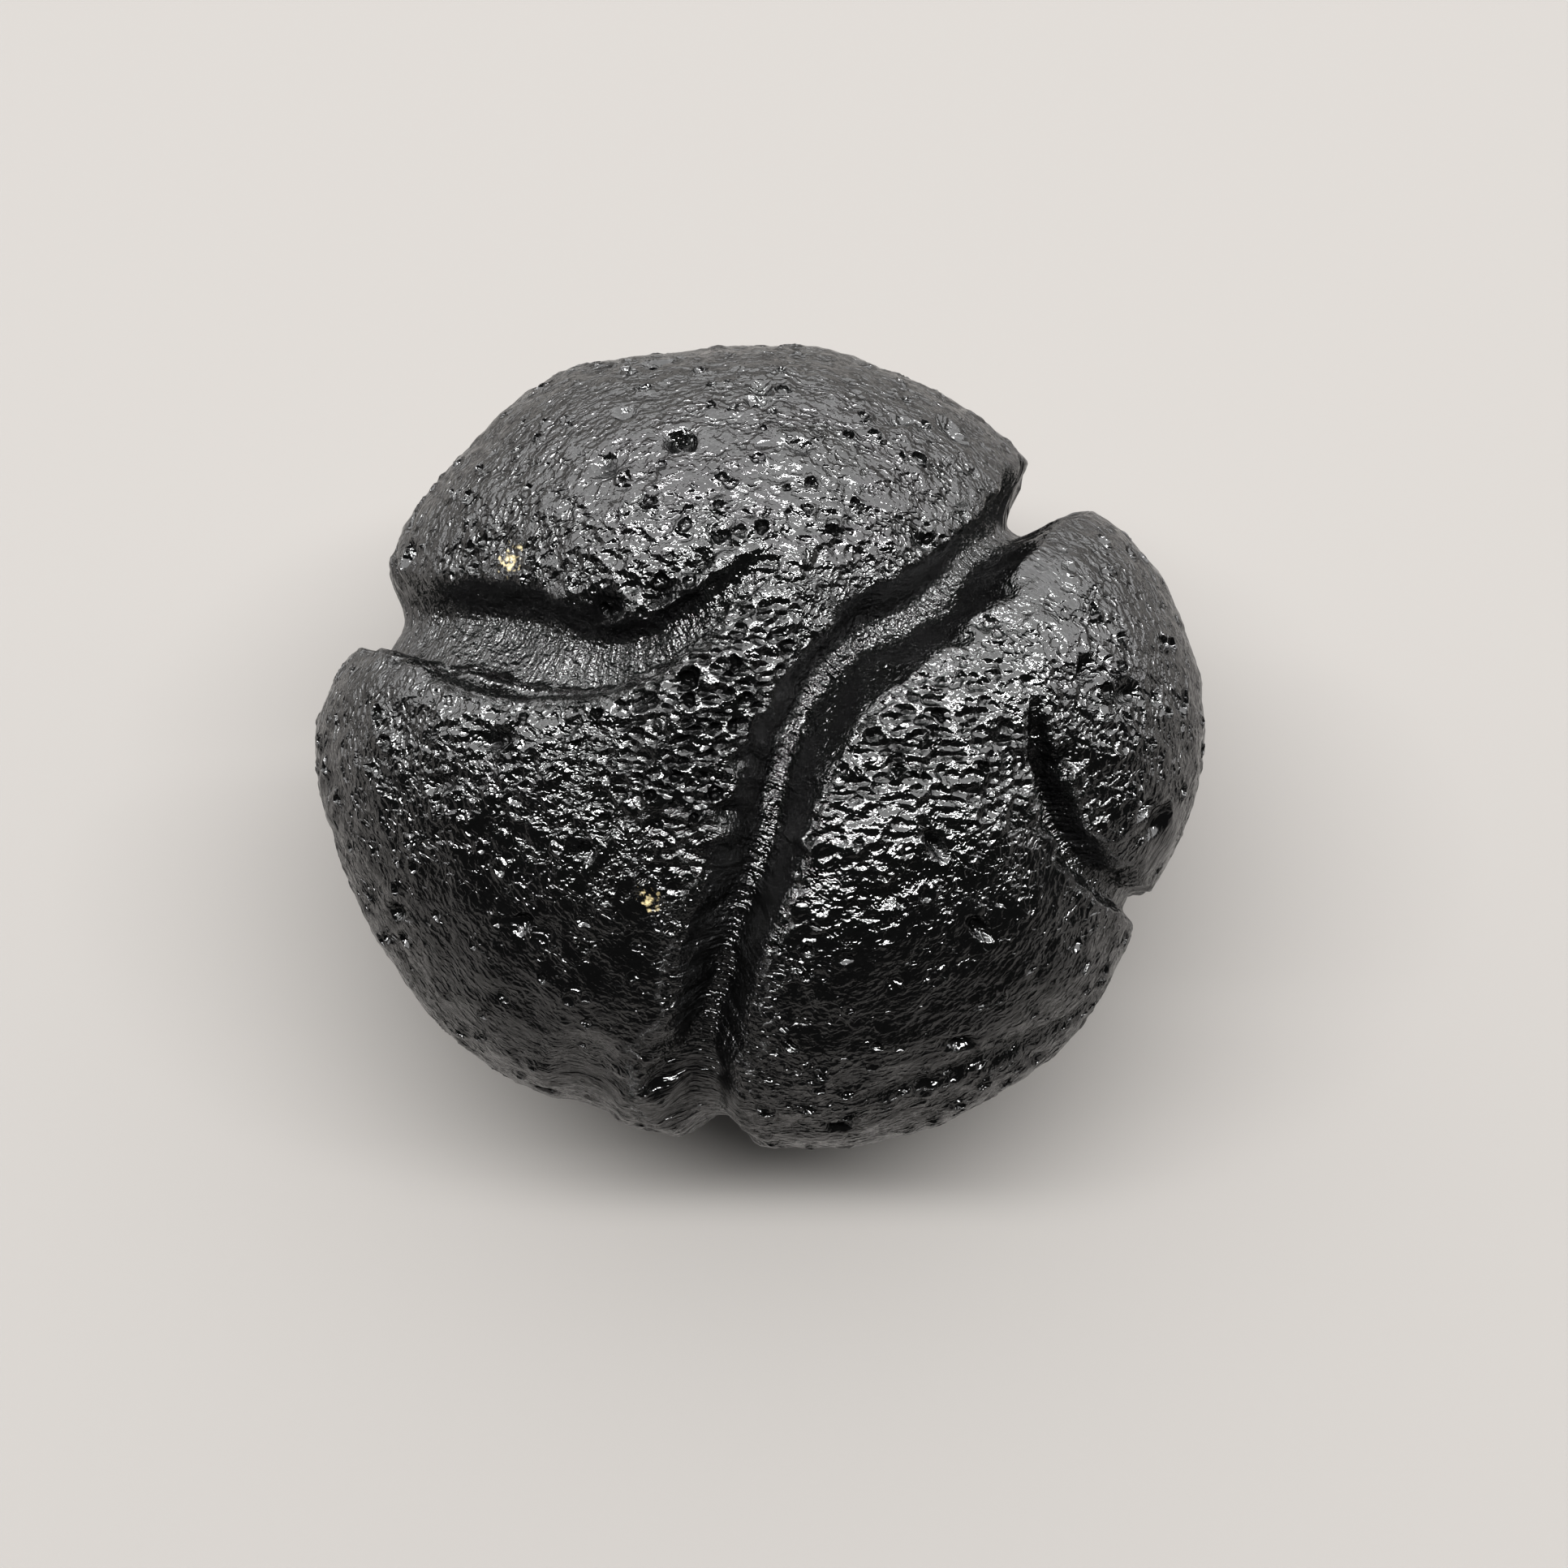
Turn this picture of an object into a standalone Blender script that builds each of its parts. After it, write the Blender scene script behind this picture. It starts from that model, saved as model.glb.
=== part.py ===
# Tektite: one lump of natural black glass about 42 mm across, cut by etched grooves, slots and pits.
# Its form is worked out in millimetres in the frame of the grooved face: X right, Y up, Z out of the face.
# Then it is tipped onto the small flat spot that it rests on and turned into metres.

import math

import bmesh
import bpy
import numpy as np
from mathutils import Matrix
from mathutils.kdtree import KDTree

# Driving dimensions of the whole lump, in millimetres and degrees
outlineRadii = (21.0, 20.8, 20.5, 20.2, 19.8, 19.1, 20.4, 20.3, 20.2,
                21.0, 20.3, 19.7, 18.9, 18.6, 18.4, 18.9, 19.8, 20.1)  # from +X round by +Y, every 20 degrees
faceHeight = 15.5
backHeight = 16.0
sectionPower = 2.15  # 2 gives an ellipse from the side, more gives a squarer shoulder
faceTilt = 12.0  # the grooved face leans this far towards -Y when the lump rests
footSwell = 1.2  # the underside bulges this much around the flat spot
footPower = 7  # more makes the bulge narrower
flatSpotRise = 0.95  # thickness missing under the flat spot
roundness = 8  # subdivisions of the starting ball
targetFaces = 9600
shortestEdge = 0.02
creaseAngle = 42.0  # edges that bend more than this are shaded sharp

# Soft unevenness that the whole lump has
lumpCount = 14
lumpSize = 0.16
lumpWaves = (2.5, 6.0)  # least and most waves around the lump
lumpSeed = 5

# How every groove and hollow is cut
wallSharpness = 1.5  # above 1 the groove walls are steepest just under their rims
overhangGrows = (0.45, 0.95)  # shares of a groove's width between which the rim's overhang sets in
overhangEnds = 2.6  # beyond the rim it has gone at this many widths
valleyStart = 0.5  # a valley is deepest up to this distance from its groove's middle
hollowRounding = 1.5  # above 1 a hollow runs out softly at its edge
hollowFades = (0.4, 1.6)  # depths of a groove between which hollows give way to it

# Each groove row: a point that its floor passes under, then the width to its right rim, the width to its left
# rim, its depth and how far the right rim hangs over it. Right and left are those of someone who walks along it.
mainGroove = {
    "rows": (
        (7.0, 6.0, -14.5, 1.4, 1.4, 0.2, 0.0),
        (10.2, 9.8, -11.0, 1.8, 2.0, 1.2, 0.0),
        (13.0, 12.4, -5.5, 1.9, 2.4, 2.3, 0.0),
        (14.1, 13.6, 1.5, 2.0, 2.6, 3.1, 0.2),
        (12.8, 12.8, 6.4, 2.2, 2.4, 3.3, 0.8),
        (11.2, 11.2, 9.6, 2.3, 2.2, 3.3, 1.1),
        (9.7, 9.3, 11.8, 2.1, 2.2, 3.2, 0.8),
        (8.1, 7.4, 13.3, 2.1, 2.3, 3.1, 0.5),
        (5.3, 5.4, 14.5, 2.2, 2.5, 3.0, 0.3),
        (3.3, 2.9, 15.2, 2.4, 1.9, 3.0, 0.2),
        (2.2, 0.8, 15.4, 2.5, 1.6, 2.9, 0.2),
        (1.3, -1.0, 15.5, 2.6, 1.5, 2.9, 0.1),
        (0.5, -4.1, 15.2, 2.8, 1.4, 2.8, 0.0),
        (-0.2, -5.7, 14.9, 2.6, 1.5, 2.7, 0.0),
        (-1.1, -7.7, 14.4, 2.3, 1.6, 2.6, 0.0),
        (-1.9, -10.1, 13.4, 2.0, 1.8, 2.4, 0.0),
        (-2.6, -12.8, 11.7, 1.8, 2.0, 2.2, 0.0),
        (-3.0, -14.9, 9.8, 1.8, 2.0, 1.9, 0.0),
        (-2.9, -16.9, 7.2, 2.0, 2.1, 1.4, 0.0),
        (-1.8, -18.6, 1.5, 2.2, 2.1, 1.1, 0.0),
        (-1.0, -17.0, -7.0, 2.2, 2.2, 0.9, 0.0),
        (0.0, -12.5, -12.5, 1.8, 1.8, 0.2, 0.0),
    ),
    "flatShare": (0.36, 0.36),  # share of the width that is floor, right and left
    "floorRise": 0.0,
    "valleyWidth": 6.0,
    "valleyDepth": 0.9,
}
sideGroove = {
    "rows": (
        (0.2, 7.6, 14.5, 0.7, 0.7, 0.3, 0.0),
        (-1.4, 6.6, 14.8, 0.9, 1.0, 0.8, 0.1),
        (-2.9, 5.8, 14.9, 1.1, 1.3, 1.2, 0.4),
        (-4.9, 5.0, 14.8, 1.2, 1.6, 1.6, 0.6),
        (-7.1, 4.7, 14.3, 1.4, 1.8, 1.9, 0.7),
        (-9.0, 5.0, 13.7, 1.6, 2.3, 2.1, 0.8),
        (-11.3, 6.0, 12.4, 1.7, 2.9, 2.3, 0.9),
        (-13.4, 6.8, 10.8, 1.6, 3.1, 2.4, 1.1),
        (-16.5, 7.0, 7.7, 1.7, 2.4, 2.2, 0.6),
        (-18.9, 6.7, 2.8, 3.0, 2.0, 1.7, 0.0),
        (-18.0, 5.5, -6.0, 1.8, 1.8, 1.2, 0.0),
        (-13.5, 3.5, -12.0, 1.4, 1.4, 0.2, 0.0),
    ),
    "flatShare": (0.25, 0.75),
    "floorRise": 0.6,  # the floor swells up towards its left rim
    "valleyWidth": 5.0,
    "valleyDepth": 0.8,
}
creaseGroove = {
    "rows": (
        (-15.6, 4.5, 9.9, 0.5, 0.4, 0.3, 0.0),
        (-14.2, 4.0, 11.2, 0.8, 0.5, 1.0, 0.0),
        (-11.9, 3.2, 12.9, 0.8, 0.5, 1.2, 0.0),
        (-9.5, 3.0, 13.8, 0.8, 0.5, 1.1, 0.0),
        (-7.0, 3.0, 14.5, 0.7, 0.5, 1.0, 0.0),
        (-4.5, 3.6, 15.0, 0.6, 0.5, 0.8, 0.0),
        (-2.2, 4.8, 15.1, 0.5, 0.4, 0.4, 0.0),
    ),
    "flatShare": (0.1, 0.1),
    "floorRise": 0.0,
    "valleyWidth": 0.0,
    "valleyDepth": 0.0,
}
edgeGroove = {
    "rows": (
        (12.3, 2.4, 12.8, 0.4, 0.4, 0.2, 0.0),
        (12.7, 1.0, 12.8, 0.7, 0.6, 0.9, 0.0),
        (13.8, -0.7, 12.1, 0.9, 0.8, 1.7, 0.0),
        (14.7, -2.6, 11.1, 1.0, 0.8, 1.8, 0.0),
        (15.8, -4.3, 9.6, 0.9, 0.9, 1.5, 0.0),
        (17.2, -5.6, 7.0, 0.9, 1.2, 1.3, 0.0),
        (18.0, -7.6, 2.5, 1.1, 1.3, 1.2, 0.0),
        (17.0, -8.2, -6.0, 1.3, 1.3, 0.8, 0.0),
        (13.0, -8.0, -12.0, 1.0, 1.0, 0.1, 0.0),
    ),
    "flatShare": (0.2, 0.2),
    "floorRise": 0.0,
    "valleyWidth": 4.0,
    "valleyDepth": 0.45,
}
lowerGroove = {
    "rows": (
        (4.5, -15.6, 8.9, 0.5, 0.5, 0.1, 0.0),
        (7.3, -14.9, 8.8, 0.8, 0.8, 0.5, 0.0),
        (10.3, -14.0, 7.9, 0.9, 0.9, 0.6, 0.0),
        (13.2, -12.8, 6.6, 0.8, 0.8, 0.5, 0.0),
        (15.5, -11.0, 5.0, 0.5, 0.5, 0.1, 0.0),
    ),
    "flatShare": (0.1, 0.1),
    "floorRise": 0.0,
    "valleyWidth": 3.5,
    "valleyDepth": 0.3,
}
bottomSaddle = {
    "rows": (
        (-8.2, -12.6, 10.4, 1.2, 1.2, 0.2, 0.0),
        (-8.2, -14.3, 9.0, 2.0, 2.0, 0.7, 0.0),
        (-8.2, -16.2, 5.0, 2.3, 2.3, 0.6, 0.0),
        (-8.0, -17.2, 0.0, 2.2, 2.2, 0.5, 0.0),
        (-7.0, -16.0, -7.0, 1.5, 1.5, 0.1, 0.0),
    ),
    "flatShare": (0.1, 0.1),
    "floorRise": 0.0,
    "valleyWidth": 0.0,
    "valleyDepth": 0.0,
}
grooves = (mainGroove, sideGroove, creaseGroove, edgeGroove, lowerGroove, bottomSaddle)

# Each hollow: the point in its middle, its half length, its half width, the angle of its length and its depth
hollows = (
    (-7.1, 6.5, 14.0, 1.5, 0.9, 5, 0.9),  # long hollow over the side groove
    (-4.4, 6.6, 14.4, 1.3, 0.6, 35, 0.5),
    (-2.4, 7.6, 14.2, 1.2, 0.4, 40, 0.4),
    (-3.4, 12.9, 11.8, 0.8, 0.7, 0, 0.8),  # deep pit on the top lobe
    (-0.2, 14.7, 10.5, 0.6, 0.5, 0, 0.5),
    (-5.9, 14.4, 10.3, 0.6, 0.5, 20, 0.3),
    (-11.7, 0.5, 13.2, 1.1, 0.5, 8, 0.4),
    (-14.0, -1.4, 11.9, 1.0, 0.6, 20, 0.3),
    (7.5, -4.0, 14.2, 1.0, 0.35, -52, 0.6),  # short slot on the lower right lobe
    (9.4, -7.6, 12.6, 0.9, 0.4, -30, 0.4),
    (14.0, 3.5, 11.7, 0.9, 0.45, 80, 0.7),  # pits on the right lobe
    (15.9, 2.6, 10.5, 0.7, 0.5, 20, 0.6),
    (17.2, 2.4, 9.3, 0.5, 0.5, 0, 0.4),
    (18.8, 2.3, 7.4, 0.8, 0.4, 70, 0.5),
    (17.8, -3.2, 8.4, 1.2, 0.9, 30, 0.5),  # thumbprint under the right lobe
    (10.0, 5.7, 12.9, 0.6, 0.5, 0, 0.4),
    (8.7, -12.8, 10.1, 1.0, 0.45, 15, 0.4),
    (3.4, -16.9, 7.1, 0.9, 0.5, 0, 0.5),
    (-4.5, -3.1, 15.0, 0.6, 0.5, 0, 0.4),
    (-7.6, -4.4, 14.0, 0.6, 0.5, 0, 0.4),
    (-10.5, -7.5, 11.9, 0.7, 0.5, 40, 0.4),
    (-20.0, -3.4, 3.0, 2.2, 1.6, 80, 0.6),  # dent in the left edge
    (-16.2, 9.3, 5.5, 0.9, 0.6, 80, 0.6),  # rough edge left of the top lobe
    (-15.9, 10.6, 4.0, 0.7, 0.5, 80, 0.4),
    (1.6, 12.6, 12.2, 0.7, 0.5, 10, 0.3),
    (6.0, 14.6, 9.5, 0.9, 0.5, 10, 0.3),
)

# Smaller pits all over, spread evenly by a spiral with a seeded shift
pitCount = 84
pitRadii = (0.55, 0.95)
pitOvals = (0.6, 1.0)  # width over length
pitDepths = (0.25, 0.5)
pitWander = 20  # degrees either way off the spiral
pitSeed = 11
goldenAngle = 137.508
clearOfFoot = 0.88  # cosine of the angle from straight down within which there are none

outlineSteps = 720
stepsPerRow = 40  # of a groove's middle line, between two of its rows
tiny = 1e-6
mm = 0.001
footWay = np.array([0, -math.sin(math.radians(faceTilt)), -math.cos(math.radians(faceTilt))])  # straight down


def smoothRow(values, count, closed=False):
    """Catmull-Rom curve through rows of values."""
    values = np.asarray(values, float)
    total = len(values)
    steps = np.linspace(0, total if closed else total - 1, count, endpoint=False)
    first = np.floor(steps).astype(int)
    share = (steps - first).reshape((-1,) + (1,) * (values.ndim - 1))
    around = [first + shift for shift in (-1, 0, 1, 2)]
    around = [index % total if closed else np.clip(index, 0, total - 1) for index in around]
    before, here, after, beyond = (values[index] for index in around)
    return 0.5 * (2 * here + (after - before) * share
                  + (2 * before - 5 * here + 4 * after - beyond) * share ** 2
                  + (3 * here - before - 3 * after + beyond) * share ** 3)


def unit(vectors):
    return vectors / np.linalg.norm(vectors, axis=-1, keepdims=True)


def baseForm(directions):
    """Points of the lump without its grooves, one in each direction from its middle."""
    outline = smoothRow(outlineRadii, outlineSteps, closed=True)
    bearing = np.degrees(np.arctan2(directions[:, 1], directions[:, 0])) % 360
    radius = np.interp(bearing, np.linspace(0, 360, outlineSteps + 1), np.append(outline, outline[0]))
    height = np.where(directions[:, 2] > 0, faceHeight, backHeight)
    across = np.hypot(directions[:, 0], directions[:, 1])
    along = np.abs(directions[:, 2])
    reach = ((across / radius) ** sectionPower + (along / height) ** sectionPower) ** (-1 / sectionPower)
    foot = np.clip(directions @ footWay, 0, 1) ** footPower
    reach = reach + footSwell * foot
    random = np.random.RandomState(lumpSeed)
    for _ in range(lumpCount):
        way = unit(random.normal(size=3))
        waves = random.uniform(*lumpWaves)
        lump = np.sin(waves * (directions @ way) + random.uniform(0, math.tau))
        reach = reach + lumpSize * lump * (1 - foot)
    return directions * reach[:, None]


def ramp(values, low, high):
    share = np.clip((values - low) / (high - low), 0, 1)
    return share * share * (3 - 2 * share)


def grooveCut(groove, points, normals):
    """How deep a groove cuts at each point, how deep its valley is there, and the shift of its overhanging rim."""
    rows = np.array(groove["rows"])
    samples = smoothRow(rows, stepsPerRow * (len(rows) - 1))
    line = baseForm(unit(samples[:, :3]))
    tangents = unit(np.gradient(line, axis=0))
    tree = KDTree(len(line))
    for index, place in enumerate(line):
        tree.insert(place, index)
    tree.balance()
    nearest = np.array([tree.find(point)[1] for point in points.tolist()])
    offset = points - line[nearest]
    distance = np.linalg.norm(offset, axis=1)
    rightHand = np.cross(tangents[nearest], normals)
    onRight = (offset * rightHand).sum(axis=1) > 0
    right, left, depth, hang = (np.maximum(samples[nearest, column], 0) for column in (3, 4, 5, 6))
    share = distance / (np.where(onRight, right, left) + tiny)
    floorShare = np.where(onRight, *groove["flatShare"])
    swell = groove["floorRise"] * np.sin(np.clip(share / floorShare, 0, 1) * math.pi / 2)
    wall = 1 - ramp(np.clip((share - floorShare) / (1 - floorShare), 0, 1) ** wallSharpness, 0, 1)
    cut = depth * wall * np.where(onRight, 1, 1 - swell)
    shift = np.where(onRight, hang * ramp(share, *overhangGrows) * (1 - ramp(share, 1, overhangEnds)), 0)
    valley = np.zeros(len(points))
    if groove["valleyWidth"]:
        fade = depth / depth.max()
        valley = groove["valleyDepth"] * fade * (1 - ramp(distance, valleyStart, groove["valleyWidth"]))
    return cut, valley, -unit(offset + tiny) * shift[:, None]


def hollowCut(hollow, points):
    """How deep an oval hollow cuts at each point."""
    x, y, z, halfLength, halfWidth, angle, depth = hollow
    middle = baseForm(unit(np.array([[x, y, z]])))[0]
    out = unit(middle)
    east = unit(np.cross((0, 1, 0), out))
    north = np.cross(out, east)
    turn = math.radians(angle)
    lengthWay = east * math.cos(turn) + north * math.sin(turn)
    widthWay = north * math.cos(turn) - east * math.sin(turn)
    offset = points - middle
    spread = ((offset @ lengthWay) / halfLength) ** 2 + ((offset @ widthWay) / halfWidth) ** 2
    spread = spread + ((offset @ out) / (2 * halfLength)) ** 2
    return depth * np.clip(1 - spread, 0, 1) ** hollowRounding


def scatteredPits():
    """Small hollows spread by a spiral from the top of the face round to the back."""
    random = np.random.RandomState(pitSeed)
    found = []
    for index in range(pitCount):
        height = 1 - 2 * (index + 0.5) / pitCount
        bearing = math.radians(goldenAngle * index + random.uniform(-pitWander, pitWander))
        across = math.sqrt(1 - height * height)
        radius = random.uniform(*pitRadii)
        pit = (across * math.cos(bearing), across * math.sin(bearing), height,
               radius, radius * random.uniform(*pitOvals), random.uniform(0, 180),
               random.uniform(*pitDepths))
        if footWay @ pit[:3] < clearOfFoot:
            found.append(pit)
    return tuple(found)


def carvedForm(mesh):
    """Moves the points of the starting ball to the lump's surface."""
    ball = np.empty(len(mesh.vertices) * 3)
    mesh.vertices.foreach_get("co", ball)
    points = baseForm(unit(ball.reshape(-1, 3)))
    mesh.vertices.foreach_set("co", points.ravel())
    mesh.update()
    normals = np.empty(len(points) * 3)
    mesh.vertex_normals.foreach_get("vector", normals)
    normals = normals.reshape(-1, 3)
    trench = np.zeros(len(points))
    valley = np.zeros(len(points))
    shift = np.zeros((len(points), 3))
    for groove in grooves:
        cut, dip, lean = grooveCut(groove, points, normals)
        trench = np.maximum(trench, cut)
        valley = np.maximum(valley, dip)
        shift += lean
    for hollow in hollows + scatteredPits():
        trench = trench + hollowCut(hollow, points) * (1 - ramp(trench, *hollowFades))
    points = points - normals * (trench + valley)[:, None] + shift
    mesh.vertices.foreach_set("co", points.ravel())
    mesh.update()


def fewerFaces(mesh):
    """The same form with the faces gathered where it bends most."""
    helper = bpy.data.objects.new("helper", mesh)
    bpy.context.scene.collection.objects.link(helper)
    thin = helper.modifiers.new("thin", "DECIMATE")
    thin.ratio = targetFaces / len(mesh.polygons)
    bpy.context.view_layer.update()
    graph = bpy.context.evaluated_depsgraph_get()
    result = bpy.data.meshes.new_from_object(helper.evaluated_get(graph))
    bpy.data.objects.remove(helper)
    return result


def restingForm(mesh):
    """Tips the lump, cuts its flat spot and puts the middle of its underside at the origin."""
    mesh.transform(Matrix.Rotation(math.radians(faceTilt), 4, "X"))
    form = bmesh.new()
    form.from_mesh(mesh)
    lowest = min(vertex.co.z for vertex in form.verts)
    everything = form.verts[:] + form.edges[:] + form.faces[:]
    bmesh.ops.bisect_plane(form, geom=everything, dist=tiny, plane_co=(0, 0, lowest + flatSpotRise),
                           plane_no=(0, 0, 1), clear_inner=True)
    bmesh.ops.dissolve_degenerate(form, edges=form.edges, dist=shortestEdge)
    bmesh.ops.triangle_fill(form, edges=[edge for edge in form.edges if edge.is_boundary], use_beauty=True)
    bmesh.ops.recalc_face_normals(form, faces=form.faces)
    corners = np.array([vertex.co for vertex in form.verts])
    low, high = corners.min(axis=0), corners.max(axis=0)
    middle = (low + high) / 2
    bmesh.ops.translate(form, verts=form.verts, vec=(-middle[0], -middle[1], -low[2]))
    bmesh.ops.scale(form, verts=form.verts, vec=(mm, mm, mm))
    form.to_mesh(mesh)
    form.free()


def naturalGlass():
    """Near black natural glass with a satin, etched skin."""
    material = bpy.data.materials.new("naturalGlass")
    material.use_nodes = True
    shader = material.node_tree.nodes["Principled BSDF"]
    shader.inputs["Base Color"].default_value = (0.012, 0.011, 0.012, 1)
    shader.inputs["Roughness"].default_value = 0.3
    shader.inputs["Metallic"].default_value = 0.0
    return material


def makeTektite():
    ball = bmesh.new()
    bmesh.ops.create_icosphere(ball, subdivisions=roundness, radius=1)
    mesh = bpy.data.meshes.new("startingBall")
    ball.to_mesh(mesh)
    ball.free()
    carvedForm(mesh)
    result = fewerFaces(mesh)
    restingForm(result)
    result.name = "tektite"
    result.materials.append(naturalGlass())
    result.shade_smooth()
    result.set_sharp_from_angle(angle=math.radians(creaseAngle))
    tektite = bpy.data.objects.new("tektite", result)
    bpy.context.scene.collection.objects.link(tektite)


for old in list(bpy.data.objects):
    bpy.data.objects.remove(old)
makeTektite()
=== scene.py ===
# Tektite: a lump of natural black glass, its face cut by grooves and its whole skin etched into pits.
# The stone is worked out in millimetres in the frame of its grooved face: X right, Y up and Z out of it.
# Then it is tipped onto its flat spot and set where the CAD solid is.

import math

import bmesh
import bpy
import numpy as np
from mathutils import Matrix, Vector
from mathutils.kdtree import KDTree


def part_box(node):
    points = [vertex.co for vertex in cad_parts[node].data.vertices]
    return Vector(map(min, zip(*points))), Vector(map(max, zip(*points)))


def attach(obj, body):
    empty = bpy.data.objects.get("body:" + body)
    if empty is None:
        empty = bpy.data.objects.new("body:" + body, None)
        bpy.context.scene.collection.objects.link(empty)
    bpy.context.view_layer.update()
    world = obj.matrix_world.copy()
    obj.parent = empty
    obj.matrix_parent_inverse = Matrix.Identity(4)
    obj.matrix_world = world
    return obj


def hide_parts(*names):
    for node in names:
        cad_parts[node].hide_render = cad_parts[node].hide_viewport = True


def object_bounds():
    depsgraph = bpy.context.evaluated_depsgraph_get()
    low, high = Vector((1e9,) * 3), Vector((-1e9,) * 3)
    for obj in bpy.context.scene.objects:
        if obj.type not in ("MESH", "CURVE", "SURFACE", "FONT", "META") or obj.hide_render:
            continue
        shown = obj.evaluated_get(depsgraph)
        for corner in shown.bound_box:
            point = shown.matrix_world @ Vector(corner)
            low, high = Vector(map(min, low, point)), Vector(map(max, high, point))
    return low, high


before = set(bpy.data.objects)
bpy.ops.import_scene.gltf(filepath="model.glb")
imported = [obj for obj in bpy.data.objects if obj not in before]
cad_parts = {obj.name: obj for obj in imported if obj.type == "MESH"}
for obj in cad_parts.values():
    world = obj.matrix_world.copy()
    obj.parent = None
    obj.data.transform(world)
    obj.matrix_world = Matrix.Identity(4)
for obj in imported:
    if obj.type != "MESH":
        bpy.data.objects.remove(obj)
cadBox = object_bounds()
mm = 0.001
tiny = 1e-6

# The whole lump, in millimetres and degrees. Its outline and its sections are those of the CAD solid.
lump = {
    # From +X by +Y, every 20 degrees
    "outlineRadii": (21.0, 20.8, 20.5, 20.2, 19.8, 19.1, 20.4, 20.3, 20.2,
                     21.0, 20.3, 19.7, 18.9, 18.6, 18.4, 18.9, 19.8, 20.1),
    "faceHeight": 15.5,
    "backHeight": 16.0,
    "sectionPower": 2.15,  # 2 gives an ellipse from the side, more gives a squarer shoulder
    "faceTilt": 12.0,  # the grooved face leans this far towards -Y when the stone rests
    "footSwell": 1.2,
    "footPower": 7,
    "flatSpotRise": 0.95,  # thickness missing under the flat spot
    "waveCount": 14,
    "waveSize": 0.16,
    "waves": (2.5, 6.0),
    "waveSeed": 5,
    "wallSharpness": 1.2,  # above 1 the groove walls are steepest just under their rims
    "overhangGrows": (0.45, 0.95),
    "overhangEnds": 2.6,
    "valleyStart": 0.5,
    "hollowRounding": 1.5,
    "hollowFades": (0.4, 1.6),  # depths already cut at which hollows start to fade and are gone
    "hollowRaggedness": 0.4,
    "hollowRipples": (0.8, 2.0),  # shortest and longest wave of the ragged edges
    "hollowSeed": 2,
    "grooveRipples": (1.2, 3.0),
    "grooveSeed": 1,
    "rippleCount": 24,
    "flutesFade": (0.9, 1.25),  # shares of a groove's width where its flutes start to fade and are gone
    "fluteFullDepth": 1.2,  # flutes are at their full depth where a groove is this deep
    "fluteShift": 11.0,  # sets the pattern of each groove apart
    "patchCore": 0.4,  # share of a patch's radius that has its full strength
    "sunkRange": (0.1, 0.45),  # depths from which a hollow counts as sunk and counts in full
    "skinStarts": 0.8,  # height above the flat spot where the skin is at its full depth
    "outlineSteps": 720,
    "stepsPerRow": 40,
    "roundness": 9,  # subdivisions of the starting ball
    "towardsFace": 0.3,  # more gathers the points of the ball on the grooved face
    "mostTriangles": 197000,
}
tilt = math.radians(lump["faceTilt"])
downWay = np.array([0, -math.sin(tilt), -math.cos(tilt)])

# Each groove row: a point that its floor passes under, then the width to its right rim, the width to its
# left rim, its depth and how far the right rim hangs over it. Right and left are those of a walk along it.
mainGroove = {
    "rows": (
        (7.0, 6.0, -14.5, 1.4, 1.4, 0.2, 0.0),
        (10.2, 9.8, -11.0, 1.8, 2.0, 1.2, 0.0),
        (13.0, 12.4, -5.5, 1.9, 2.4, 2.3, 0.0),
        (14.1, 13.6, 1.5, 2.0, 2.6, 3.1, 0.2),
        (12.8, 12.8, 6.4, 2.2, 2.4, 3.3, 0.8),
        (11.2, 11.2, 9.6, 2.3, 2.4, 3.3, 1.1),
        (9.7, 9.3, 11.8, 2.1, 2.6, 3.2, 0.8),
        (8.1, 7.4, 13.3, 2.1, 2.7, 3.1, 0.5),
        (5.3, 5.4, 14.5, 2.2, 2.7, 3.0, 0.3),
        (3.3, 2.9, 15.2, 2.4, 1.9, 3.0, 0.2),
        (2.2, 0.8, 15.4, 2.5, 1.6, 2.9, 0.2),
        (1.3, -1.0, 15.5, 2.6, 1.5, 2.9, 0.1),
        (0.5, -4.1, 15.2, 2.8, 1.4, 2.8, 0.0),
        (-0.2, -5.7, 14.9, 2.6, 1.5, 2.7, 0.0),
        (-1.1, -7.7, 14.4, 2.3, 1.6, 2.6, 0.0),
        (-1.9, -10.1, 13.4, 2.0, 1.8, 2.4, 0.0),
        (-2.6, -12.8, 11.7, 2.0, 2.0, 2.2, 0.0),
        (-3.0, -14.9, 9.8, 2.6, 2.0, 1.8, 0.0),
        (-2.9, -16.9, 7.2, 2.6, 2.1, 1.3, 0.0),
        (-1.8, -18.6, 1.5, 2.2, 2.1, 1.1, 0.0),
        (-1.0, -17.0, -7.0, 2.2, 2.2, 0.9, 0.0),
        (0.0, -12.5, -12.5, 1.8, 1.8, 0.2, 0.0),
    ),
    "ragged": 0.17,  # how much its width wanders, as a share of it
    "flatShare": (0.08, 0.08),  # share of the width that is floor, right and left
    "floorRise": 0.0,
    "valleyWidth": 6.0,
    "valleyDepth": 0.9,
}
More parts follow.
